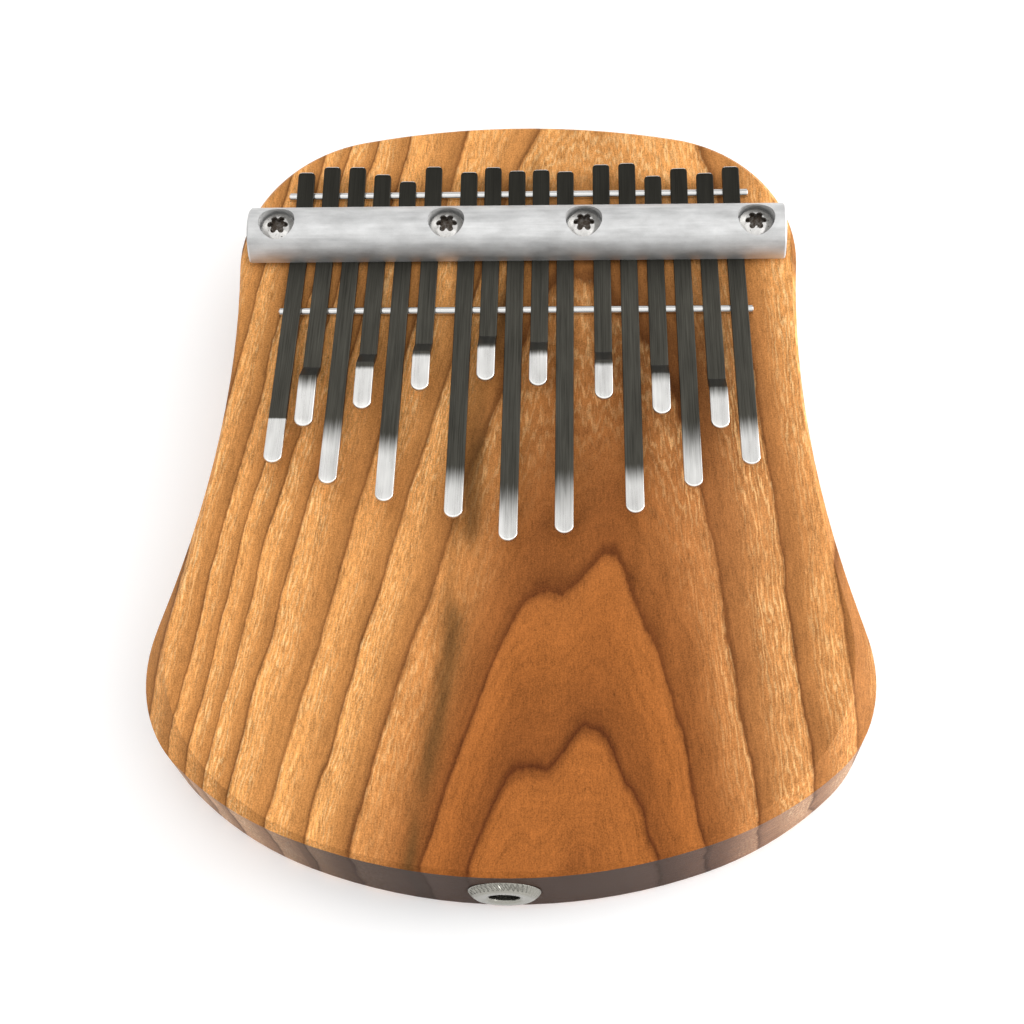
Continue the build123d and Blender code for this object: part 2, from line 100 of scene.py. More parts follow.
# The jack nut's front face, the hole in it and the sleeve behind it, as radii
NUT_FACE = 5.8 * MM
NUT_HOLE = 3.2 * MM
SLEEVE = 4.75 * MM
# Turn of a ridge from the nut's back to its front, in radians, and points round the nut for each
RIDGE_TURN = 0.20
RIDGE_POINTS = 8

# Fixed tints
VEIN = (0.110, 0.052, 0.016)
SPECK = (0.05, 0.045, 0.04)
SOCKET_TINT = (0.042, 0.028, 0.017)

# Distance from the middle of the floor to its edges, in metres
FLOOR_REACH = 12.0


class Field:
    """A value that varies over a surface: a socket, with the sums that are done on it."""

    def __init__(self, finish, socket):
        self.finish = finish
        self.socket = socket

    def math(self, operation, *others):
        return self.finish.node("ShaderNodeMath", {"operation": operation}, (self, *others))

    def __add__(self, other):
        return self.math("ADD", other)

    def __mul__(self, other):
        return self.math("MULTIPLY", other)

    def __sub__(self, other):
        return self.math("SUBTRACT", other)

    def __truediv__(self, other):
        return self.math("DIVIDE", other)

    def __neg__(self):
        return self * -1.0

    def __radd__(self, other):
        return self + other

    def __rmul__(self, other):
        return self * other

    def __rsub__(self, other):
        return -self + other

    def bell(self, width):
        """1 where this is zero, falling smoothly away on both sides."""
        place = self / width
        return (-(place * place)).math("EXPONENT")

    def step(self, low, high):
        """0 below low, 1 above high, and a smooth rise between; low may be the higher."""
        return self.finish.node(
            "ShaderNodeMapRange",
            {"interpolation_type": "SMOOTHSTEP"},
            {"Value": self, "From Min": low, "From Max": high},
        )


class Finish:
    """A material, or the world, being written one node at a time."""

    def __init__(self, name, kind="materials"):
        self.material = getattr(bpy.data, kind).new(name)
        self.material.use_nodes = True
        self.tree = self.material.node_tree
        self.tree.nodes.clear()

    def node(self, kind, settings=None, sockets=(), out=0):
        """Adds a node: its settings first, then the values or links of its sockets."""
        made = self.tree.nodes.new(kind)
        for name, value in (settings or {}).items():
            if name == "stops":
                self.set_stops(made.color_ramp, value)
            else:
                setattr(made, name, value)
        pairs = sockets.items() if isinstance(sockets, dict) else enumerate(sockets)
        for key, value in pairs:
            if isinstance(value, Field):
                self.tree.links.new(value.socket, made.inputs[key])
            else:
                made.inputs[key].default_value = value
        return Field(self, made.outputs[out]) if len(made.outputs) else made

    @staticmethod
    def set_stops(ramp, stops):
        while len(ramp.elements) > 1:
            ramp.elements.remove(ramp.elements[0])
        for i, (place, value) in enumerate(stops):
            stop = ramp.elements[0] if i == 0 else ramp.elements.new(place)
            stop.position = place
            stop.color = (value, value, value, 1.0)

    def ramp(self, field, stops):
        return self.node("ShaderNodeValToRGB", {"stops": stops}, {"Fac": field})

    def place(self, source="Object"):
        """A texture coordinate; the one in the object's own frame is in millimetres."""
        outputs = ("Generated", "Normal", "UV", "Object")
        point = self.node("ShaderNodeTexCoord", out=outputs.index(source))
        return self.scale(point, 1 / MM) if source == "Object" else point

    def scale(self, vector, factor):
        sockets = {"Vector": vector, "Scale": factor}
        return self.node("ShaderNodeVectorMath", {"operation": "SCALE"}, sockets)

    def split(self, vector):
        parts = self.node("ShaderNodeSeparateXYZ", None, (vector,))
        outputs = parts.socket.node.outputs
        return [Field(self, outputs[i]) for i in range(3)]

    def join(self, x, y, z):
        return self.node("ShaderNodeCombineXYZ", None, (x, y, z))

    def stretch(self, vector, x, y, z):
        sockets = {0: vector, 1: (x, y, z)}
        return self.node("ShaderNodeVectorMath", {"operation": "MULTIPLY"}, sockets)

    def noise(self, vector, scale=1.0, detail=2.0, roughness=0.5):
        """Cloudy noise about zero, from -0.5 to 0.5."""
        sockets = {"Vector": vector, "Scale": scale, "Detail": detail, "Roughness": roughness}
        return self.node("ShaderNodeTexNoise", None, sockets) - 0.5

    def mix(self, factor, first, second):
        """Colour that goes from first to second as the factor goes from 0 to 1."""
        first = first if isinstance(first, Field) else (*first, 1.0)
        second = second if isinstance(second, Field) else (*second, 1.0)
        # The node's colours are its sockets 6 and 7, and its third output
        sockets = {0: factor, 6: first, 7: second}
        return self.node("ShaderNodeMix", {"data_type": "RGBA"}, sockets, out=2)

    def bump(self, height, strength, distance):
        sockets = {"Height": height, "Strength": strength, "Distance": distance}
        return self.node("ShaderNodeBump", None, sockets)

    def surface(self, **sockets):
        """Ends the material in one shader; a socket's name has its spaces as underscores."""
        named = {name.replace("_", " "): value for name, value in sockets.items()}
        shader = self.node("ShaderNodeBsdfPrincipled", None, named)
        self.node("ShaderNodeOutputMaterial", None, {"Surface": shader})
        return self.material


def colour(name, description, default):
    return FloatVectorProperty(
        name=name, description=description, default=default, subtype="COLOR", min=0.0, max=1.0
    )


def length(name, description, millimetres):
    return FloatProperty(name=name, description=description, default=millimetres * MM, unit="LENGTH")


class BoardLook(bpy.types.PropertyGroup):
    sapwood: colour("Sapwood", "Palest wood, near the edges", (0.69, 0.305, 0.088))
    springwood: colour("Spring wood", "Ground colour between the growth rings", (0.450, 0.180, 0.056))
    heartwood: colour("Heartwood", "Wood nearest the pith", (0.345, 0.112, 0.025))
    ring_line: colour("Ring line", "Dark line that ends a year's growth", (0.085, 0.022, 0.006))
    # Almost black: the darker colour of oiled end grain, with painted shade of the end walls added in
    end_grain_and_shade: colour("End grain", "Dark end grain round the jack", (0.030, 0.013, 0.006))
    fleck: colour("Fleck", "Fine pale lines in the spring wood", (0.84, 0.50, 0.215))
    pith_x: length("Pith", "Place of the pith across the board", 15.0)
    lobe: length("Lobe", "How far the ring arches are pulled out of shape", 5.2)
    fleck_spacing: length("Fleck spacing", "Distance between the fine pale lines", 0.85)


class TineLook(bpy.types.PropertyGroup):
    steel: colour("Steel", "Blued steel", (0.070, 0.067, 0.056))
    # Colour of the bright tips: ground steel with a painted reflection of the light; the sawn ends use it
    # too
    ground: colour("Ground steel", "Bright steel at the tips", (0.93, 0.92, 0.89))
    width: length("Width", "Width of a tine", 4.0)
    thickness: length("Thickness", "Thickness of the strip", 1.0)
    rim: length("Rim", "Width of the rounded rim along the upper edges", 0.2)
    rear_corner: length("Rear corner", "Radius of the corners at the tuning end", 0.9)
    bend_radius: length("Bend radius", "Bends at the edges of the pressure bar", 6.0)
    crank_radius: length("Crank radius", "Bends of the thumb plates", 1.1)
    crank_rise: length("Crank rise", "Height of a thumb plate above its tine", 3.2)
    crank_run: length("Crank run", "Length of the slope up to a thumb plate", 4.0)


class MetalLook(bpy.types.PropertyGroup):
    aluminium: colour("Aluminium", "Blasted pressure bar", (0.74, 0.74, 0.735))
    stainless: colour("Stainless", "Screws", (0.70, 0.685, 0.66))
    rod: colour("Rod", "Bridge rods", (0.74, 0.735, 0.72))
    nickel: colour("Nickel", "Jack", (0.34, 0.33, 0.29))
    brass: colour("Brass", "Pickup disc", (0.72, 0.52, 0.23))
    bronze: colour("Bronze", "Jack's contact leaf", (0.66, 0.46, 0.24))
    knurls: IntProperty(name="Knurls", description="Slanted ridges round the jack nut", default=40)
    knurl_height: length("Knurl height", "Height of a ridge", 0.32)


class OtherLook(bpy.types.PropertyGroup):
    moulding: colour("Moulding", "Pocket cover and jack block", (0.022, 0.022, 0.023))
    ceramic: colour("Ceramic", "Silvered face of the pickup", (0.70, 0.69, 0.65))
    signal: colour("Signal lead", "Insulation of the signal lead", (0.42, 0.022, 0.016))
    earth: colour("Ground lead", "Insulation of the ground lead", (0.02, 0.02, 0.02))
    floor: colour("Floor", "Floor of the studio", (0.92, 0.92, 0.92))


def shaded(colour, factor):
    """A colour made darker or lighter."""
    return [min(1.0, factor * part) for part in colour]


def dress(node, material):
    """Gives a carried-over node its material in every slot."""
    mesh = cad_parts[node].data
    if not mesh.materials:
        mesh.materials.append(material)
    for i in range(len(mesh.materials)):
        mesh.materials[i] = material


def new_piece(name, vertices, faces, materials):
    mesh = bpy.data.meshes.new(name)
    mesh.from_pydata(vertices, [], faces)
    mesh.update()
    piece = bpy.data.objects.new(name, mesh)
    bpy.context.scene.collection.objects.link(piece)
    for material in materials:
        mesh.materials.append(material)
    return piece


def smooth(piece, sharp_degrees):
    """Smooth shading, broken at edges that turn more than this."""
    mesh = piece.data
    mesh.shade_smooth()
    mesh.set_sharp_from_angle(angle=math.radians(sharp_degrees))


# Finishes


def wood_finish(look):
    wood = Finish("cherry_wood")
    point = wood.place()
    x, y, z = wood.split(point)
    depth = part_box("board")[1].z / MM - z
    slow = wood.noise(wood.stretch(point, 0.030, 0.020, 0.03))
    quick = wood.noise(wood.stretch(point, 0.19, 0.07, 0.15))
    ripple = wood.noise(wood.stretch(point, 0.9, 0.42, 0.6))

    # The log's pith runs below the face and rises towards the player, so each growth ring cuts
    # the face in an arch that opens that way. Near the pith the arches are pulled out of shape.
    across = x + slow * 5.0 + quick * 1.6 - look.pith_x / MM - (y + 50.0) * PITH_DRIFT
    swing = (across * (2 * math.pi / LOBE_PERIOD)).math("SINE")
    near = across.bell(LOBE_REACH)
    crest = y + ARCH_START - swing * near * (look.lobe / MM) + quick * 5.0
    below = (crest.math("MAXIMUM", 0.0) * ARCH_BLUNTNESS).math("SQRT") - depth * DEPTH_PULL
    flat = across * (1.0 - near * 0.42)
    radius = (flat * flat + below * below).math("SQRT")
    # Left of the pith the rings about 44 mm out bulge outwards
    left = across.step(5.0, -5.0)
    radius = radius - (radius - 44.0).bell(7.0) * left * 3.2 + ripple * 0.5

    # Place within a year's growth: 0 at the dark line, rising outwards to 1 at the next
    years = [(0.0, 0.3 / YEARS)] + [(r / RING_SPAN, (i + 1) / YEARS) for i, r in enumerate(RINGS)]
    season = (wood.ramp(radius / RING_SPAN, years) * YEARS).math("FRACT")
    late = wood.ramp(season, [
        (0.0, 1.0), (0.02, 0.93), (0.07, 0.62), (0.16, 0.50), (0.32, 0.40), (0.52, 0.21),
        (0.72, 0.03), (0.90, 0.0), (0.95, 0.10), (0.985, 0.55), (1.0, 1.0),
    ])
    heart = radius.step(46.0, 24.0)
    faint = wood.noise(wood.join(radius * 0.13, y * 0.02, z * 0.02), 1.0, 1.0)
    late = late * (0.84 + heart * 0.12 + faint * 0.55)
    # One darker, greyish vein left of the pith, broken along its length
    vein = wood.noise(wood.join(x * 0.12, y * 0.035, z * 0.05)).step(-0.22, 0.10)
    vein = (radius - 35.0 - (y + 50.0) * 0.10 + quick * 2.0).bell(1.5) * left * vein

    # Fine pale lines that follow the rings and jog sideways
    jog = wood.noise(wood.join(x * 0.55, y * 0.075, z * 0.3), 1.0, 3.0, 0.62)
    lines = ((radius + jog * 3.0) * (2 * math.pi * MM / look.fleck_spacing)).math("SINE")
    patch = wood.noise(wood.join(radius * 0.09, y * 0.03, z * 0.05)).step(-0.20, 0.10)
    broken = wood.noise(wood.join(x * 1.1, y * 0.22, z * 0.8)).step(-0.12, 0.14)
    bright = season.step(0.22, 0.62) * radius.step(30.0, 44.0)
    fleck = lines.step(-0.3, 0.9) * bright * (broken * 0.7 + 0.3) * (patch * 0.75 + 0.25)

    # Fibres and pores, drawn out along the grain
    fibre = wood.noise(wood.join(radius * 1.1, y * 0.09, z * 1.2), 1.0, 4.0, 0.68)
    thread = wood.noise(wood.join(x * 2.9, y * 0.42, z * 2.9), 1.0, 3.0, 0.7)
    pores = wood.noise(wood.join(x * 3.1, y * 0.55, z * 3.1)).step(0.10, 0.22)
    grit = wood.noise(point, 3.2, 2.0, 0.7)

    # Paler away from the pith on both sides and towards the tuning end
    sides = across.step(-4.0, -30.0) * 0.85 + across.step(22.0, 55.0) * 0.40
    pale = (sides + crest.step(95.0, 160.0) * 0.85) * (1.0 - heart)
    tone = wood.mix(pale + slow * 0.6, look.springwood, look.sapwood)
    tone = wood.mix(heart, tone, look.heartwood)
    tone = wood.mix(bright * 0.04 + fleck * 0.85, tone, look.fleck)
    tone = wood.mix((late * 0.92).math("MINIMUM", 0.95), tone, look.ring_line)
    tone = wood.mix(vein * 0.80, tone, VEIN)
    shade = 0.98 + fibre * 0.80 + thread * (bright * 0.9 + 0.7)
    shade = shade + grit * 1.4 + quick * 0.25 - pores * 0.10
    tone = wood.scale(tone, shade)

    # End grain and cut fibres on the board's side are duller and finely streaked
    _, ny, nz = wood.split(wood.place("Normal"))
    side = nz.math("ABSOLUTE").step(0.62, 0.25)
    streak = wood.noise(wood.join(x * 0.10, y * 0.10, z * 1.9), 1.0, 4.0, 0.7)
    # The board's end walls are painted almost black: partly oiled end grain's darker colour, partly
    # painted shade
    end = ny.math("ABSOLUTE").step(0.86, 0.99)
    dulled = {"Color": tone, "Saturation": 0.80, "Value": 0.80 + streak * 1.1}
    tone = wood.mix(side, tone, wood.node("ShaderNodeHueSaturation", None, dulled))
    tone = wood.mix(side * (end * 0.88 + 0.04), tone, look.end_grain_and_shade)
    relief = fibre * 0.5 + thread * 0.6 - pores * 0.8 - late * 0.25 + streak * side * 1.5
    return wood.surface(
        Base_Color=tone,
        Roughness=0.42 + late * 0.08 + fibre * 0.12 - fleck * 0.06,
        IOR=1.12,
        Normal=wood.bump(relief, 0.25, 0.00018),
    )


def tine_finish(look):
    steel = Finish("tine_steel")
    along, across, _ = steel.split(steel.place("UV"))
    start = steel.node("ShaderNodeAttribute", {"attribute_name": "ground"}, out=2)
    tine = steel.node("ShaderNodeAttribute", {"attribute_name": "tine"}, out=2)
    brushed = steel.noise(steel.join(across * 4.2, along * 0.035, tine * 3.7), 1.0, 4.0, 0.75)
    hair = steel.noise(steel.join(across * 13.0, along * 0.12, tine * 5.1), 1.0, 2.0, 0.6)
    cloud = steel.noise(steel.join(across * 0.5, along * 0.09, tine * 2.3))
    ragged = steel.noise(steel.join(across * 2.4, along * 0.10, tine * 9.1), 1.0, 3.0, 0.6)
    # Bright tip: partly ground steel, partly a painted reflection of the light
    ground = (start + ragged * 0.7 + brushed * 0.5).step(-0.75, 0.75)
    specks = steel.noise(steel.join(across * 2.0, along * 2.0, tine), 1.0, 2.0, 0.6).step(0.27, 0.31)
    lay = 0.5 + brushed * 1.3 + hair * 0.5 + cloud * 0.5
    dark = steel.mix(lay, shaded(look.steel, 0.30), shaded(look.steel, 1.70))
    # Painted shade: darker at the tuning end and beneath the bar, where the bar shades the steel
    dark = steel.mix(along.step(38.0, 16.0) * 0.72, dark, shaded(look.steel, 0.16))
    # Tone of the bright tip, painted reflection included
    light = steel.mix(0.6 + brushed * 0.9 + cloud * 1.2, shaded(look.ground, 0.56), look.ground)
    tone = steel.mix(ground, dark, light)
    tone = steel.mix(specks * 0.25, tone, SPECK)
    return steel.surface(
        Base_Color=tone,
        Metallic=1.0,
        Roughness=0.36 - ground * 0.08 + brushed * 0.12 + cloud * 0.06,
        Normal=steel.bump(brushed + hair * 0.6, 0.16, 0.00006),
    )


def cut_steel_finish(look):
    """Sawn and dressed ends of the tines."""
    steel = Finish("cut_steel")
    marks = steel.noise(steel.stretch(steel.place(), 3.0, 1.0, 9.0), 1.0, 3.0, 0.7)
    tone = steel.mix(0.5 + marks, shaded(look.ground, 0.6), look.ground)
    return steel.surface(
        Base_Color=tone,
        Metallic=1.0,
        Roughness=0.38 + marks * 0.2,
        Normal=steel.bump(marks, 0.2, 0.00005),
    )


def blasted_finish(look):
    """Blasted aluminium of the bar, clouded by handling."""
    metal = Finish("blasted_aluminium")
    point = metal.place()
    peen = metal.noise(point, 5.5, 2.0, 0.6)
    mottle = metal.noise(metal.stretch(point, 0.16, 0.35, 0.35), 1.0, 3.0, 0.55)
    wipe = metal.noise(metal.stretch(point, 0.05, 0.9, 0.9), 1.0, 3.0, 0.6)
    cloud = 0.5 + mottle * 1.6 + wipe * 0.9 + peen * 0.6
    tone = metal.mix(cloud, shaded(look.aluminium, 0.66), look.aluminium)
    return metal.surface(
        Base_Color=tone,
        Metallic=1.0,
        Roughness=0.56 + mottle * 0.14 + peen * 0.12,
        Normal=metal.bump(peen + mottle * 1.2, 0.30, 0.00007),
    )


def screw_finish(look):
    """Stainless steel of the bar's four screws, darker, browner and duller down in their driver sockets.
    """
    metal = Finish("stainless_screw")
    point = metal.place()
    x, y, z = metal.split(point)
    scuffs = metal.noise(metal.stretch(point, 2.4, 1.2, 1.5), 1.0, 4.0, 0.7)
    wear = metal.noise(point, 0.9, 3.0, 0.65)
    # Distance from the nearest screw's axis
    low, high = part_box("pressure_bar_screws")
    outer = (high.x - (high.y - low.y) / 2) / MM
    out = (x.math("ABSOLUTE") - (outer + INNER_SCREW_X) / 2).math("ABSOLUTE")
    off = out - (outer - INNER_SCREW_X) / 2
    along = y - (high.y + low.y) / 2 / MM
    away = (off * off + along * along).math("SQRT")
    top = high.z / MM
    # Darker, browner, rougher and less metallic down in the driver sockets, in patches
    deep = z.step(*(top - depth for depth in SOCKET_TINT_DEPTH)) * away.step(*SOCKET_TINT_RADIUS)
    socket_patch = metal.noise(point, 1.3, 3.0, 0.7).step(-0.30, 0.12)
    nick = metal.noise(point, 1.9, 1.0, 0.5).step(0.20, 0.27)
    tone = metal.mix(0.5 + scuffs + wear * 0.6, shaded(look.stainless, 0.62), look.stainless)
    tone = metal.mix(deep * (0.62 + socket_patch * 0.38), tone, SOCKET_TINT)
    tone = metal.mix(nick * 0.8, tone, SPECK)
    return metal.surface(
        Base_Color=tone,
        Metallic=1.0 - deep * socket_patch * 0.5,
        Roughness=0.22 + scuffs * 0.22 + deep * 0.2,
        Normal=metal.bump(scuffs + wear, 0.22, 0.00005),
    )


def drawn_finish(name, base, roughness, lay):
    """Metal drawn or turned, with fine marks; lay stretches them along each axis."""
    metal = Finish(name)
    point = metal.place()
    marks = metal.noise(metal.stretch(point, *lay), 1.0, 3.0, 0.7)
    cloud = metal.noise(point, 0.35, 3.0, 0.6)
    tone = metal.mix(0.5 + marks * 0.9 + cloud * 0.6, shaded(base, 0.74), base)
    return metal.surface(
        Base_Color=tone,
        Metallic=1.0,
        Roughness=roughness + marks * 0.10 + cloud * 0.08,
        Normal=metal.bump(marks, 0.10, 0.00004),
    )


def moulded_finish(name, base, roughness):
    """Moulded plastic or pressed ceramic, with a fine leathery grain."""
    plastic = Finish(name)
    point = plastic.place()
    cells = {"Vector": point, "Scale": 1.9}
    grain = plastic.node("ShaderNodeTexVoronoi", {"feature": "SMOOTH_F1"}, cells)
    cloud = plastic.noise(point, 0.22, 3.0, 0.6)
    tone = plastic.mix(0.5 + cloud * 1.2, shaded(base, 0.75), shaded(base, 1.3))
    return plastic.surface(
        Base_Color=tone,
        Roughness=roughness + cloud * 0.12 + grain * 0.10,
        Normal=plastic.bump(grain, 0.25, 0.0001),
    )


def floor_finish(look):
    """Matt paint, very slightly uneven, that glows a little so its shadows stay pale."""
    paint = Finish("studio_floor")
    cloud = paint.noise(paint.place(), 0.004, 2.0, 0.5)
    tone = paint.mix(0.5 + cloud * 0.3, shaded(look.floor, 0.985), look.floor)
    return paint.surface(
        Base_Color=tone,
        Roughness=0.8,
        Specular_IOR_Level=0.2,
        Emission_Color=tone,
        Emission_Strength=0.15,
    )


# Shapes


def rounded_path(corners, radii, turn_step=math.radians(4.0)):
    """Points and directions along a line of straight runs joined by arcs, in its own plane."""
    points = [(corners[0], (corners[1] - corners[0]).normalized())]
    for before, corner, after, radius in zip(corners, corners[1:], corners[2:], radii):
        run_in = (corner - before).normalized()
        run_out = (after - corner).normalized()
        turn = -run_in.angle_signed(run_out)
        setback = radius * math.tan(abs(turn) / 2)
        steps = max(2, math.ceil(abs(turn) / turn_step))
        start = corner - run_in * setback
        side = Vector((-run_in.y, run_in.x)) * (1.0 if turn > 0 else -1.0)
        centre = start + side * radius
        for i in range(steps + 1):
            angle = turn * i / steps
            spun = Matrix.Rotation(angle, 2)
            points.append((centre + spun @ (start - centre), spun @ run_in))
    points.append((corners[-1], (corners[-1] - corners[-2]).normalized()))
    return points


def stations(path, step):
    """Adds points on the long straight runs, and gives (length so far, point, direction)."""
    found = [(0.0, *path[0])]
    for (a, heading_a), (b, heading_b) in zip(path, path[1:]):
        run = (b - a).length
        if run < 1e-9:
            continue
        straight = heading_a.dot(heading_b) > 0.999999
        pieces = max(1, math.ceil(run / step)) if straight else 1
        here = found[-1][0]
        for i in range(1, pieces + 1):
            t = i / pieces
            heading = heading_a if i < pieces else heading_b
            found.append((here + run * t, a.lerp(b, t), heading))
    return found


def on_path(track, distance):
    """Point and direction at a distance along a track made by stations()."""
    distance = min(max(distance, track[0][0]), track[-1][0])
    for (l0, a, heading_a), (l1, b, heading_b) in zip(track, track[1:]):
        if distance <= l1:
            t = (distance - l0) / (l1 - l0)
            return a.lerp(b, t), heading_a.lerp(heading_b, t).normalized()
    return track[-1][1], track[-1][2]


def quarter_turn(steps):
    return [math.pi / 2 * i / steps for i in range(steps + 1)]


def half_outline(track, look):
    """One side of a tine's plan, rear to tip: (arc centre, its distance across, arc radius,
    direction towards the tip, direction across)."""
    total = track[-1][0]
    half = look.width / 2
    corner = look.rear_corner
    plan = []
    for angle in quarter_turn(5):
        plan.append((corner, half - corner, corner, -math.cos(angle), math.sin(angle)))
    for along, _, _ in track:
        if corner + 0.2 * MM < along < total - half - 0.1 * MM:
            plan.append((along, half, 0.0, 0.0, 1.0))
    for angle in quarter_turn(9):
        plan.append((total - half, 0.0, half, math.sin(angle), math.cos(angle)))
    return plan


def drawn_in(plan, inset):
    """One side of a tine's outline, drawn in by an inset, as (along, across)."""
    side = []
    for centre, base, radius, ahead, out in plan:
        if radius:
            left = radius - inset
            side.append((centre + ahead * (left - tip_rim(inset, ahead)), base + out * left))
        else:
            side.append((centre, base - inset))
    return side


def tip_rim(inset, ahead):
    """Extra inset round the end of the tip, where the rim is ground wider than along the sides."""
    return inset * 1.3 * max(0.0, ahead)


def rod_top():
    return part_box("front_bridge_rod")[1].z


def rod_place(node):
    """Middle of a bridge rod, along the board."""
    low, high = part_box(node)
    return (low.y + high.y) / 2


def tine_frame(node, look):
    """A tine's line in plan, from its node's box: where it crosses the front rod, its slant, and
    its lengths behind and ahead of that rod."""
    low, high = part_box(node)
    half = look.width / 2
    rod_y = rod_place("front_bridge_rod")
    right = high.x + low.x > 0
    rear_x, tip_x = (low.x + half, high.x - half) if right else (high.x - half, low.x + half)
    slant = math.atan2(tip_x - rear_x, high.y - low.y)
    if abs(slant) < 1e-4:
        slant = 0.0
    crossing = Vector((rear_x + (high.y - rod_y) * math.tan(slant), rod_y))
    return crossing, slant, (high.y - rod_y) / math.cos(slant), (rod_y - low.y) / math.cos(slant)


def tine_track(index, look, rear, reach):
    """Middle line of a tine's thickness as (towards the tip from the front rod, height)."""
    bar_low, bar_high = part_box("pressure_bar")
    rod_y = rod_place("front_bridge_rod")
    back = rod_place("rear_bridge_rod") - rod_y
    clear = SEAT_GAP + look.thickness / 2
    held = rod_top() + clear
    pressed = bar_low.z - clear
    enter, leave = rod_y - bar_high.y, rod_y - bar_low.y
    slope = (held - pressed) / -leave
    fall = (held - pressed) / (back + enter)
    tail = Vector((-rear, held + fall * (rear - back)))
    corners = [tail, Vector((enter, pressed)), Vector((leave, pressed))]
    radii = [look.bend_radius, look.bend_radius]
    if index % 2:
        foot = reach - PLATE_LENGTH[index // 2] * MM - look.crank_run
        top = held + slope * foot + look.crank_rise
        corners += [Vector((foot, held + slope * foot)), Vector((foot + look.crank_run, top))]
        corners.append(Vector((reach, top)))
        radii += [look.crank_radius, look.crank_radius]
    else:
        corners.append(Vector((reach, held + slope * reach)))
    return stations(rounded_path(corners, radii), TRACK_STEP)


def tine_levels(look):
    """Insets of a tine's outline and their heights, from its lower face up to its upper one."""
    half = look.thickness / 2
    rim = look.rim
    # Inset halfway round the lower arris
    eased = 0.035 * MM
    levels = [(ARRIS, -half), (eased, -half + eased), (0.0, -half + ARRIS), (0.0, half - rim)]
    for degrees in (30, 60, 90):
        angle = math.radians(degrees)
        levels.append((rim * (1 - math.cos(angle)), half - rim + rim * math.sin(angle)))
    return levels


def strip_faces(columns, rows):
    """Faces of a tine from its rows of points, and which of them are its cut rear end."""
    faces, rear = [], []
    for row in range(rows - 1):
        low, up = row * columns, (row + 1) * columns
        for i in range(columns):
            j = (i + 1) % columns
            if j == 0 or i in (0, 1, columns - 2, columns - 3):
                rear.append(len(faces))
            faces.append((low + j, low + i, up + i, up + j))
    for base, upper in ((0, False), ((rows - 1) * columns, True)):
        for i in range(columns // 2):
            a, b = base + i, base + i + 1
            c, d = base + columns - 2 - i, base + columns - 1 - i
            quad = (a, b, c, d) if b != c else (a, b, d)
            faces.append(tuple(reversed(quad)) if upper else quad)
    return faces, rear


def tine_mesh(name, index, look, materials):
    """One tine as a bent strip, with its lengths mapped and its bright end, ground steel with a painted
    reflection, marked.
    """
    node = f"tine_{index + 1:02d}"
    crossing, slant, rear, reach = tine_frame(node, look)
    track = tine_track(index, look, rear, reach)
    total = track[-1][0]
    plan = half_outline(track, look)
    levels = tine_levels(look)
    onward = Vector((math.sin(slant), -math.cos(slant)))
    aside = Vector((math.cos(slant), math.sin(slant)))
    vertices, strip, ground = [], [], []
    for inset, height in levels:
        side = drawn_in(plan, inset)
        for along, across in side + [(a, -c) for a, c in reversed(side[:-1])]:
            point, heading = on_path(track, along)
            spot = crossing + onward * (point.x - height * heading.y) + aside * across
            vertices.append((spot.x, spot.y, point.y + height * heading.x))
            strip.append((along / MM, across / MM))
            inside = GROUND_AND_REFLECTION_LENGTH[index] * MM - (total - along)
            ground.append(inside / (GROUND_AND_REFLECTION_FADE[index] * MM))
    faces, rear_faces = strip_faces(2 * len(plan) - 1, len(levels))
    piece = new_piece(name, vertices, faces, materials)
    mesh = piece.data
    layer = mesh.uv_layers.new(name="strip")
    for loop in mesh.loops:
        layer.data[loop.index].uv = strip[loop.vertex_index]
    mesh.attributes.new("ground", "FLOAT", "POINT").data.foreach_set("value", ground)
    number = [float(index)] * len(vertices)
    mesh.attributes.new("tine", "FLOAT", "POINT").data.foreach_set("value", number)
    for i in rear_faces:
        mesh.polygons[i].material_index = 1
    smooth(piece, 50.0)
    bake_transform(piece)
    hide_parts(node)


def nut_rings(big, back, front):
    """The nut's section, from the sleeve round its outside and back into the sleeve: each ring's
    place along the nut, its radius, how far its ridges stand up and how far along they are."""
    height = back - front
    slopes = 9
    rings = [(back, SLEEVE, 0.0, 0.0), (back, big - 0.45 * MM, 0.0, 0.0)]
    for share, shy in ((0.06, 0.25), (0.10, 0.10)):
        rings.append((back - height * share, big - shy * MM, 0.0, share))
    for i in range(slopes + 1):
        t = i / slopes
        share = 0.14 + 0.70 * t
        radius = big - 0.12 * MM + (NUT_FACE + 0.55 * MM - big) * t
        rings.append((back - height * share, radius, math.sin(math.pi * t) ** 0.35, share))
    for y, radius in (
        (front + height * 0.10, NUT_FACE + 0.25 * MM),
        (front + height * 0.03, NUT_FACE + 0.06 * MM),
        (front, NUT_FACE - 0.12 * MM),
        (front, NUT_HOLE + 0.75 * MM),
        (front + 0.05 * MM, NUT_HOLE + 0.62 * MM),
        (front + 0.26 * MM, NUT_HOLE + 0.30 * MM),
        (front + 0.34 * MM, NUT_HOLE + 0.04 * MM),
        (front + 0.50 * MM, NUT_HOLE),
        (front + 0.50 * MM, SLEEVE),
    ):
        rings.append((y, radius, 0.0, 1.0))
    return rings


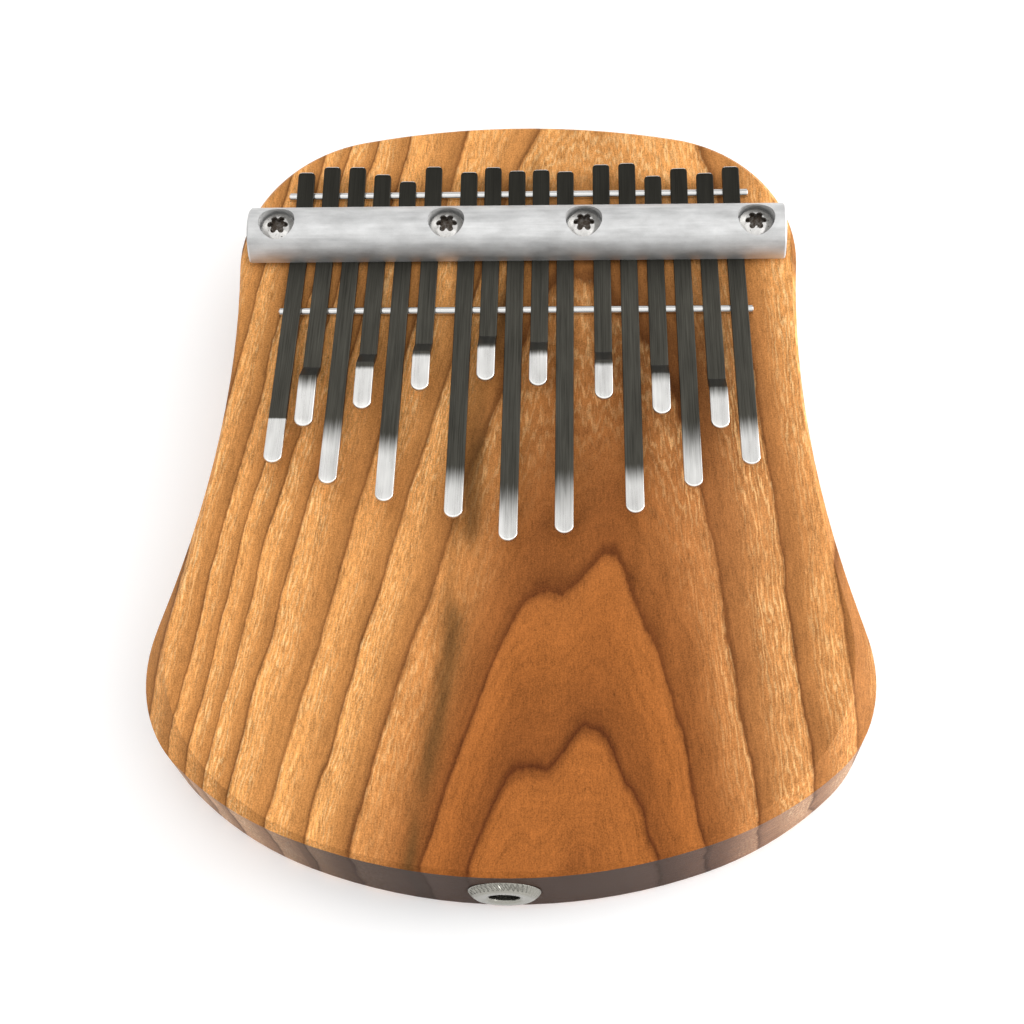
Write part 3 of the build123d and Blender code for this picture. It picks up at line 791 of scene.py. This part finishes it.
def knurled_nut(look, material):
    """Cone-shaped round nut with slanted ridges; its flat back bears on the wood."""
    low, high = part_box("jack_nut")
    x, z = (low.x + high.x) / 2, (low.z + high.z) / 2
    big = (high.x - low.x) / 2
    rings = nut_rings(big, high.y, low.y)
    sides = look.knurls * RIDGE_POINTS
    vertices, faces = [], []
    for y, radius, ridge, t in rings:
        for i in range(sides):
            angle = 2 * math.pi * i / sides
            turn = (angle + RIDGE_TURN * t) * look.knurls / (2 * math.pi)
            tooth = 1.0 - abs(2.0 * (turn % 1.0) - 1.0) * 2.0
            lift = ridge * look.knurl_height * max(-0.5, min(0.5, tooth))
            r = min(radius + lift, big)
            vertices.append((x + r * math.cos(angle), y, z + r * math.sin(angle)))
    for k in range(len(rings)):
        a, b = k * sides, ((k + 1) % len(rings)) * sides
        for i in range(sides):
            j = (i + 1) % sides
            faces.append((a + i, b + i, b + j, a + j))
    nut = new_piece("knurled_nut", vertices, faces, [material])
    smooth(nut, 28.0)
    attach(nut, "root")
    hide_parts("jack_nut")


# Operators


class MBIRA_OT_board(bpy.types.Operator):
    """Finish the wooden board"""

    bl_idname = "mbira.board"
    bl_label = "Board"

    def execute(self, context):
        dress("board", wood_finish(context.scene.mbira_board))
        return {"FINISHED"}


class MBIRA_OT_tines(bpy.types.Operator):
    """Build the seventeen steel tines"""

    bl_idname = "mbira.tines"
    bl_label = "Tines"

    def execute(self, context):
        look = context.scene.mbira_tines
        materials = [tine_finish(look), cut_steel_finish(look)]
        for index in range(TINES):
            tine_mesh(f"steel_tine_{index + 1:02d}", index, look, materials)
        return {"FINISHED"}


class MBIRA_OT_bridge(bpy.types.Operator):
    """Finish the two rods, the pressure bar and its screws"""

    bl_idname = "mbira.bridge"
    bl_label = "Rods, bar and screws"

    def execute(self, context):
        look = context.scene.mbira_metals
        rod = drawn_finish("polished_rod", look.rod, 0.16, (0.12, 5.0, 5.0))
        dress("rear_bridge_rod", rod)
        dress("front_bridge_rod", rod)
        dress("pressure_bar", blasted_finish(look))
        dress("pressure_bar_screws", screw_finish(look))
        return {"FINISHED"}


class MBIRA_OT_jack(bpy.types.Operator):
    """Build the knurled nut and finish the rest of the jack"""

    bl_idname = "mbira.jack"
    bl_label = "Jack"

    def execute(self, context):
        look = context.scene.mbira_metals
        nickel = drawn_finish("nickel", look.nickel, 0.26, (1.5, 5.0, 1.5))
        knurled_nut(look, nickel)
        dress("jack_sleeve", nickel)
        dress("jack_ground_lug", nickel)
        dress("jack_tip_spring", drawn_finish("contact_bronze", look.bronze, 0.30, (5.0, 0.4, 5.0)))
        block = moulded_finish("jack_moulding", context.scene.mbira_others.moulding, 0.55)
        dress("jack_insulator", block)
        return {"FINISHED"}


class MBIRA_OT_pickup(bpy.types.Operator):
    """Finish the pickup disc and its two leads"""

    bl_idname = "mbira.pickup"
    bl_label = "Pickup"

    def execute(self, context):
        metals, others = context.scene.mbira_metals, context.scene.mbira_others
        dress("pickup_plate", drawn_finish("pickup_brass", metals.brass, 0.34, (0.5, 6.0, 2.0)))
        dress("pickup_ceramic", moulded_finish("pickup_ceramic", others.ceramic, 0.42))
        dress("signal_lead", moulded_finish("signal_insulation", others.signal, 0.50))
        dress("ground_lead", moulded_finish("ground_insulation", others.earth, 0.50))
        return {"FINISHED"}


class MBIRA_OT_cover(bpy.types.Operator):
    """Finish the pocket cover and its screws"""

    bl_idname = "mbira.cover"
    bl_label = "Pocket cover"

    def execute(self, context):
        metals, others = context.scene.mbira_metals, context.scene.mbira_others
        dress("pocket_cover", moulded_finish("black_moulding", others.moulding, 0.50))
        dress("cover_screws", drawn_finish("cover_screw", metals.stainless, 0.30, (2.0, 2.0, 2.0)))
        return {"FINISHED"}


class MBIRA_OT_stage(bpy.types.Operator):
    """Lay the floor, hang the lights and set the camera"""

    bl_idname = "mbira.stage"
    bl_label = "Stage"

    def execute(self, context):
        r = FLOOR_REACH
        corners = [(-r, -r, 0), (r, -r, 0), (r, r, 0), (-r, r, 0)]
        paint = floor_finish(context.scene.mbira_others)
        floor = new_piece("floor", corners, [(0, 1, 2, 3)], [paint])
        floor.location.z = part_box("board")[0].z
        lamp("side_softbox", spot=(1.25, 0.10, 0.45), size=(0.8, 0.5), watts=11.5)
        lamp("top_softbox", spot=(-0.20, -0.50, 1.50), size=(3.0, 2.2), watts=20.5)
        context.scene.world = studio_air()
        context.scene.view_settings.view_transform = "Standard"
        context.scene.camera = studio_camera()
        return {"FINISHED"}


def lamp(name, spot, size, watts):
    """Rectangular soft light at a spot, facing the middle of the board."""
    light = bpy.data.lights.new(name, "AREA")
    light.shape = "RECTANGLE"
    light.size, light.size_y = size
    light.energy = watts
    holder = bpy.data.objects.new(name, light)
    holder.location = spot
    aim = -Vector(spot)
    holder.rotation_euler = aim.to_track_quat("-Z", "Y").to_euler()
    bpy.context.scene.collection.objects.link(holder)


def studio_air():
    """White walls: bright on the right and behind the board, and dim on the player's side except
    straight behind the player."""
    air = Finish("studio_air", "worlds")
    right, ahead, _ = air.split(air.place("Generated"))
    far = ahead.step(-0.75, 0.75) * 0.74 + ahead.step(-0.55, -0.95) * 0.30
    strength = far + right.step(0.20, 0.95) * 1.20 + 0.16
    white = (1.0, 1.0, 1.0, 1.0)
    light = air.node("ShaderNodeBackground", None, {"Color": white, "Strength": strength})
    air.node("ShaderNodeOutputWorld", None, {"Surface": light})
    return air.material


def studio_camera():
    """Camera above the player's side, looking down at the face; its turns are in radians."""
    spot = (0.018500, -0.169068, 0.353269)
    turns = (("Y", 0.0551), ("X", 0.4459), ("Z", 0.0230))
    lens = bpy.data.cameras.new("camera")
    lens.sensor_width = 36.0
    lens.lens = 58.92
    camera = bpy.data.objects.new("camera", lens)
    turn = Matrix()
    for axis, angle in turns:
        turn = turn @ Matrix.Rotation(angle, 4, axis)
    camera.matrix_world = Matrix.Translation(spot) @ turn
    bpy.context.scene.collection.objects.link(camera)
    return camera


class MBIRA_PT_panel(bpy.types.Panel):
    """Sidebar panel with one button for each group of pieces"""

    bl_idname = "MBIRA_PT_panel"
    bl_label = "Thumb piano"
    bl_space_type = "VIEW_3D"
    bl_region_type = "UI"
    bl_category = "Thumb Piano"

    def draw(self, context):
        for operator in OPERATORS:
            self.layout.operator(operator.bl_idname)
        for group in LOOKS:
            look = getattr(context.scene, group)
            box = self.layout.box()
            for name in look.bl_rna.properties.keys():
                if name not in ("name", "rna_type"):
                    box.prop(look, name)


LOOKS = {
    "mbira_board": BoardLook,
    "mbira_tines": TineLook,
    "mbira_metals": MetalLook,
    "mbira_others": OtherLook,
}
OPERATORS = (
    MBIRA_OT_board,
    MBIRA_OT_tines,
    MBIRA_OT_bridge,
    MBIRA_OT_jack,
    MBIRA_OT_pickup,
    MBIRA_OT_cover,
    MBIRA_OT_stage,
)


def register():
    for kind in (*LOOKS.values(), *OPERATORS, MBIRA_PT_panel):
        bpy.utils.register_class(kind)
    for name, group in LOOKS.items():
        setattr(bpy.types.Scene, name, PointerProperty(type=group))


def unregister():
    for name in LOOKS:
        delattr(bpy.types.Scene, name)
    for kind in (MBIRA_PT_panel, *reversed(OPERATORS), *reversed(list(LOOKS.values()))):
        bpy.utils.unregister_class(kind)


def main():
    register()
    bpy.ops.mbira.board()
    bpy.ops.mbira.tines()
    bpy.ops.mbira.bridge()
    bpy.ops.mbira.jack()
    bpy.ops.mbira.pickup()
    bpy.ops.mbira.cover()
    bpy.ops.mbira.stage()


if __name__ == "__main__":
    main()
